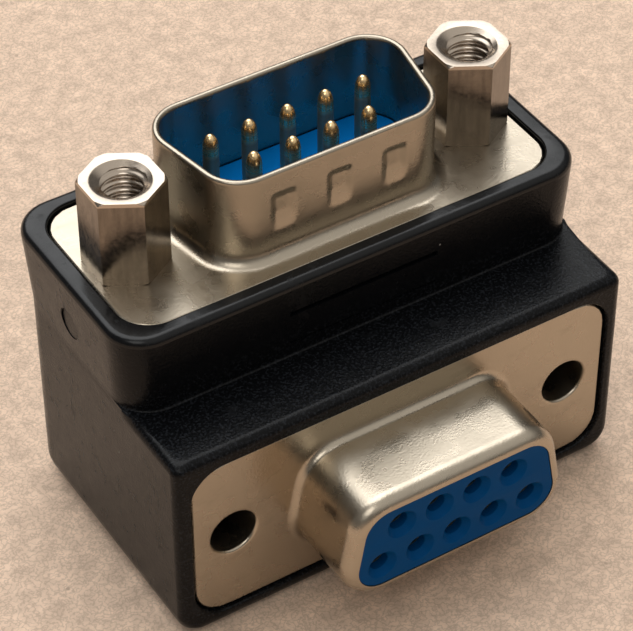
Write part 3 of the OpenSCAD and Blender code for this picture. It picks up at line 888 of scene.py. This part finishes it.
def black_abs(name, grain_depth, shine):
    """Black ABS, injection moulded: satin, with scuffs and a little dust. A spark-eroded tool
    leaves a grain, whose depth is in millimetres. Paler specks at the grain's peaks are painted
    glints, painted highlights that are strongest on the front block and fade up the upper one.
    The tool's polished part gives the rim a stronger shine and hardly any grain."""
    rgb, dust_rgb = bpy.context.scene.dsub_colour.plastic, bpy.context.scene.dsub_colour.dust
    finish, node, where = new_finish(name)
    grain = node("TexNoise", [where, 0, MM / 0.18, 3, 0.6])
    dents = node("TexNoise", [where, 0, MM / 0.9, 2, 0.5])
    upright = node("Mapping", {"Vector": where, "Scale": (1, 1, 0.35)})
    scuff = node("TexNoise", [upright, 0, MM / 2.5, 5, 0.7])
    worn = node("MapRange", [scuff, 0.6, 0.75, 0, 0.35])
    height = node("SeparateXYZ", [where], "Z")
    fading = node("MapRange", [height, LEDGE_Z / MM, (LEDGE_Z + 2.5) / MM, 1, 0.15])
    # Painted glints: the grain's peaks, faded by height above the ledge, get a paler colour as
    # painted highlights.
    peaks = node("MapRange", [grain, 0.5, 0.66, 0, 1])
    painted_glints = node("Math", [peaks, fading], operation="MULTIPLY")
    specks = node("TexVoronoi", {"Vector": where, "Scale": MM / 2.6})
    dust = node("MapRange", [specks, 0.03, 0.015, 0, 1])
    satin = node("MapRange", [dents, 0.3, 0.7, 0.2, 0.28])
    rough = node("Math", [satin, worn], operation="ADD")
    coats = [(worn, tone(rgb, 4)), (painted_glints, tone(rgb, 5)), (dust, tone(dust_rgb, 1))]
    inputs = {"Roughness": rough, "IOR": 1.53, "Specular IOR Level": shine}
    return end_finish(finish, tone(rgb, 1), coats, inputs, [(dents, 0.012), (grain, grain_depth)])


def nickel_plated_steel():
    """Cold-drawn steel with a thin bright nickel plate: a warm silver that mirrors softly, with the
    fine orange peel of the plate and faint handling marks. From 1 to 3 mm above the top flange the
    colour falls to 0.82 of itself: painted shade, so the top skirt is darker than the flange, for
    the shaded floor that it mirrors. All the stampings share the one finish."""
    name = "Nickel-plated steel, drawn"
    if name in bpy.data.materials:
        return bpy.data.materials[name]
    rgb = bpy.context.scene.dsub_colour.nickel
    finish, node, where = new_finish(name)
    peel = node("TexNoise", [where, 0, MM / 0.16, 1.5, 0.6])
    waves = node("TexNoise", [where, 0, MM / 1.6, 2, 0.5])
    sideways = node("Mapping", {"Vector": where, "Scale": (0.4, 1, 1)})
    marks = node("TexNoise", [sideways, 0, MM / 1.1, 4, 0.7])
    stain = node("MapRange", [marks, 0.55, 0.8, 0, 0.5])
    height = node("SeparateXYZ", [where], "Z")
    # Painted shade: the colour falls to 0.82 between 1 and 3 mm above the top flange, darkening the
    # top skirt.
    bright = node("MapRange", [height, (MALE_Z + 1) / MM, (MALE_Z + 3) / MM, 1, 0.82])
    scaled = {0: tone(rgb, 1)[:3], "Scale": bright}
    skirt_painted_shade_base = node("VectorMath", scaled, operation="SCALE")
    rough = node("MapRange", [waves, 0.3, 0.7, 0.24, 0.33])
    inputs = {"Metallic": 1.0, "Roughness": rough}
    coats = [(stain, tone(rgb, 0.72))]
    return end_finish(finish, skirt_painted_shade_base, coats, inputs, [(waves, 0.005), (peel, 0.009)])


def nickel_plated_brass():
    """Hexagonal brass bar under nickel, with lengthwise streaks on the drawn flats and the cutting
    tool's fine rings. Lit and shaded copies of one colour: the flats are painted darker, painted
    shade, and the top end face, which faces the light, and the thread are painted 1.7 times as
    pale, painted highlight. The thread is told from the flats by its distance from the
    standoff's own axis."""
    scene = bpy.context.scene
    rgb, bar = scene.dsub_colour.bar, scene.dsub_standoff
    finish, node, where = new_finish("Nickel-plated brass, turned")
    x, y, z = (node("SeparateXYZ", [where], axis) for axis in "XYZ")
    top = MALE_Z + bar.height * MM
    # Painted highlight: a mask of the top end face and the thread, which get a paler copy of the
    # colour.
    end_face = node("MapRange", [z, (top - 0.3) / MM, (top - 0.25) / MM, 0, 1])
    side = node("Math", [x], operation="ABSOLUTE")
    from_axis = ([side, scene.dsub_shell.hole_span / 2], [y, MALE_Y / MM])
    away = [node("Math", pair, operation="SUBTRACT") for pair in from_axis]
    squares = [node("Math", [v, v], operation="MULTIPLY") for v in away]
    reach = node("Math", squares, operation="ADD")
    thread = node("Math", [reach, (bar.mouth / 2) ** 2], operation="LESS_THAN")
    painted_highlight_mask = node("Math", [end_face, thread], operation="MAXIMUM")
    upright = node("Mapping", {"Vector": where, "Scale": (1, 1, 0.12)})
    streaks = node("TexNoise", [upright, 0, MM / 0.5, 4, 0.65])
    drawn = node("MapRange", [streaks, 0.35, 0.7, 0, 1])
    level = node("Mapping", {"Vector": where, "Scale": (0.15, 0.15, 4)})
    rings = node("TexNoise", [level, 0, MM / 0.5, 3, 0.6])
    peel = node("TexNoise", [where, 0, MM / 0.3, 2, 0.5])
    rough = node("MapRange", [peel, 0.3, 0.7, 0.16, 0.26])
    inputs = {"Metallic": 1.0, "Roughness": rough}
    # Painted shade on the flats (0.55 of the colour) and painted highlight on the top face and
    # thread (1.7 of it), with the streaks between.
    coats = [(drawn, tone(rgb, 0.85)), (painted_highlight_mask, tone(rgb, 1.7))]
    return end_finish(finish, tone(rgb, 0.55), coats, inputs, [(rings, 0.0015), (peel, 0.002)])


def gold_flash():
    """Thin gold flash on the tips, where contact is made: bright and yellow. The shafts below show
    the grey nickel under it. Light tool rings run round both."""
    colours = bpy.context.scene.dsub_colour
    finish, node, where = new_finish("Gold flash over nickel")
    tip = corners("pin_1")[1][2]
    height = node("SeparateXYZ", [where], "Z")
    gilt = node("MapRange", [height, (tip - 1.7) / MM, (tip - 1.3) / MM, 0, 1])
    level = node("Mapping", {"Vector": where, "Scale": (0.2, 0.2, 3)})
    rings = node("TexNoise", [level, 0, MM / 0.4, 2, 0.5])
    dull = node("MapRange", [rings, 0.3, 0.7, 0.38, 0.48])
    smoother = node("MapRange", [gilt, 0, 1, 0, 0.17])
    rough = node("Math", [dull, smoother], operation="SUBTRACT")
    inputs = {"Metallic": 1.0, "Roughness": rough}
    coats = [(gilt, tone(colours.gold, 1))]
    return end_finish(finish, tone(colours.shaft, 1), coats, inputs, [(rings, 0.001)])


def blue_pbt(name, depth):
    """Blue PBT with glass fibre, moulded: satin, with a very fine grain and little shine. Depth
    scales the blue into lit and shaded copies: painted light on the up-facing floor of the top
    connector and painted shade on the front face."""
    rgb = tone(bpy.context.scene.dsub_colour.blue, depth)[:3]
    finish, node, where = new_finish(name)
    grain = node("TexNoise", [where, 0, MM / 0.12, 3, 0.5])
    cloud = node("TexNoise", [where, 0, MM / 1.5, 2, 0.5])
    rough = node("MapRange", [cloud, 0.3, 0.7, 0.38, 0.5])
    inputs = {"Roughness": rough, "IOR": 1.56, "Specular IOR Level": 0.04}
    return end_finish(finish, tone(rgb, 0.9), [(cloud, tone(rgb, 1.1))], inputs, [(grain, 0.003)])


def pale_card():
    """Plain pale card, pressed from short fibres: matt, mottled where they lie thick or thin, with
    thin dark lines that wind between them, darker specks and a fine tooth."""
    rgb = bpy.context.scene.dsub_colour.floor
    finish, node, where = new_finish("Pale card, pressed")
    mottle = node("TexNoise", [where, 0, MM / 1.4, 5, 0.65])
    thick = node("MapRange", [mottle, 0.35, 0.65, 0, 1])
    fibres = node("TexNoise", [where, 0, MM / 0.42, 2, 0.5])
    centred = node("Math", [fibres, 0.5], operation="SUBTRACT")
    off_middle = node("Math", [centred], operation="ABSOLUTE")
    between = node("MapRange", [off_middle, 0, 0.07, 0.5, 0])
    cells = node("TexVoronoi", {"Vector": where, "Scale": MM / 3.4})
    specks = node("MapRange", [cells, 0.055, 0.03, 0, 0.5])
    coats = [(thick, tone(rgb, 1.2)), (between, tone(rgb, 0.5)), (specks, tone(rgb, 0.4))]
    return end_finish(finish, tone(rgb, 0.88), coats, {"Roughness": 0.85}, [(fibres, 0.05)])


# ---------------------------------------------------------------- stage

# Angles in degrees. Distance and target are in millimetres, the target from the middle of the
# front flange. Focal length and principal point are in units of the frame below.
CAMERA = {
    "azimuth": -32.59,
    "elevation": 43.04,
    "roll": 0.18,
    "distance": 163.9,
    "target": (-5.17, 0.0, 12.12),
    "focal": 2748.1,
    "principal": (335.0, 345.0),
}
WIDTH, HEIGHT = 633, 631
SENSOR = 36.0

# Middle of each light, cosines at which it starts and is full, its strengths there, and its colour
WINDOW = ((0.05, 0.52, 0.85), 0.785, 0.91, 0, 3.0, (0.985, 0.995, 1))
LAMP = ((-0.5, -0.4, 0.77), 0.945, 0.985, 0, 2.0, (1, 0.99, 0.96))
ROOM = ((0.22, -0.38, 0.9), 0.5, 0.95, 0.15, 0.7, (1, 0.975, 0.93))


def look_along(azimuth, elevation, roll):
    """Rows of a camera's right, up and back axes: back is (sin az cos el, -cos az cos el, sin el),
    right is up x back, and roll turns right and up about back."""
    a, e, r = np.radians([azimuth, elevation, roll])
    back = np.array([np.sin(a) * np.cos(e), -np.cos(a) * np.cos(e), np.sin(e)])
    right = np.cross([0, 0, 1.0], back)
    right /= np.linalg.norm(right)
    up = np.cross(back, right)
    c, s = np.cos(r), np.sin(r)
    return np.array([c * right + s * up, c * up - s * right, back])


def soft_light(tree, towards, middle, start, full, low, high, rgb):
    """Light spread softly round one direction. Where the cosine of the angle from the middle is
    start or less it has strength low, and where it is full or more, strength high."""
    facing = {0: towards, 1: Vector(middle).normalized()}
    cosine = add(tree, "VectorMath", facing, "Value", operation="DOT_PRODUCT")
    values = [cosine, start, full, low, high]
    glow = add(tree, "MapRange", values, interpolation_type="SMOOTHSTEP")
    return add(tree, "Background", {"Color": (*rgb, 1), "Strength": glow})


def studio(floor_rgb):
    """World that lights the part from a window behind, a lamp at the left and the room in front.
    The camera sees the floor's colour past the floor's edge."""
    world = bpy.data.worlds.new("Soft studio")
    world.use_nodes = True
    tree = world.node_tree
    tree.nodes.clear()
    towards = add(tree, "TexCoord", out="Generated")
    window, lamp, room = (soft_light(tree, towards, *light) for light in (WINDOW, LAMP, ROOM))
    both = add(tree, "AddShader", [window, lamp])
    lit = add(tree, "AddShader", [both, room])
    seen = add(tree, "Background", {"Color": (*floor_rgb, 1), "Strength": 1.0})
    camera_ray = add(tree, "LightPath", out="Is Camera Ray")
    shown = add(tree, "MixShader", [camera_ray, lit, seen])
    add(tree, "OutputWorld", {"Surface": shown})
    return world


def placed_camera():
    """The camera: its pose holds the axes of look_along as columns, and the place distance behind
    the target. The frame's middle is shifted from the principal point."""
    axes = look_along(CAMERA["azimuth"], CAMERA["elevation"], CAMERA["roll"])
    origin = np.array([0, FRONT_Y, FEMALE_Z])
    place = np.array(CAMERA["target"]) + origin + CAMERA["distance"] * axes[2]
    pose = np.eye(4)
    pose[:3, :3], pose[:3, 3] = axes.T, place / MM
    camera = bpy.data.objects.new("camera", bpy.data.cameras.new("camera"))
    camera.matrix_world = Matrix(pose)
    camera.data.sensor_width = SENSOR
    camera.data.lens = CAMERA["focal"] / WIDTH * SENSOR
    camera.data.shift_x = (WIDTH / 2 - CAMERA["principal"][0]) / WIDTH
    camera.data.shift_y = (CAMERA["principal"][1] - HEIGHT / 2) / WIDTH
    camera.data.clip_start, camera.data.clip_end = 0.01, 10
    return camera


class DSUB_OT_stage(bpy.types.Operator):
    """Pale floor, soft light from the world round it, and the camera"""

    bl_idname = "dsub.stage"
    bl_label = "Stage"

    def execute(self, context):
        ring = spun([(0.5, 0), (1500, 0)], 96)
        floor = skin("floor", moved(ring, z=-0.02), caps=False)
        floor.data.materials.append(pale_card())
        if floor.data.polygons[0].normal.z < 0:
            floor.data.flip_normals()

        context.scene.world = studio(context.scene.dsub_colour.floor)
        camera = placed_camera()
        context.scene.collection.objects.link(camera)
        context.scene.camera = camera
        context.scene.view_settings.view_transform = "Standard"
        return {"FINISHED"}


class DSUB_PT_adapter(bpy.types.Panel):
    """Lists the adapter's sizes, colours and pieces"""

    bl_label = "D-sub adapter"
    bl_space_type = "VIEW_3D"
    bl_region_type = "UI"
    bl_category = "D-sub adapter"

    def draw(self, context):
        """Shows a button for each piece, then a box for each group of settings."""
        for step in STEPS:
            self.layout.operator(step.bl_idname)
        for key, kind in SETTINGS.items():
            box = self.layout.box()
            for name in kind.__annotations__:
                box.prop(getattr(context.scene, key), name)


STEPS = (
    DSUB_OT_housing,
    DSUB_OT_male_shell,
    DSUB_OT_female_shell,
    DSUB_OT_rear_shells,
    DSUB_OT_insulators,
    DSUB_OT_contacts,
    DSUB_OT_standoffs,
    DSUB_OT_stage,
)
CLASSES = (*SETTINGS.values(), *STEPS, DSUB_PT_adapter)


def register():
    """Registers the classes and hangs the settings on the scene."""
    for kind in CLASSES:
        bpy.utils.register_class(kind)
    for key, kind in SETTINGS.items():
        setattr(bpy.types.Scene, key, PointerProperty(type=kind))


def unregister():
    """Takes the settings and the classes away again."""
    for key in SETTINGS:
        delattr(bpy.types.Scene, key)
    for kind in reversed(CLASSES):
        bpy.utils.unregister_class(kind)


def main():
    register()
    for step in STEPS:
        group, name = step.bl_idname.split(".")
        if getattr(getattr(bpy.ops, group), name)() != {"FINISHED"}:
            raise RuntimeError(f"{step.bl_label} was not built")


if __name__ == "__main__":
    main()
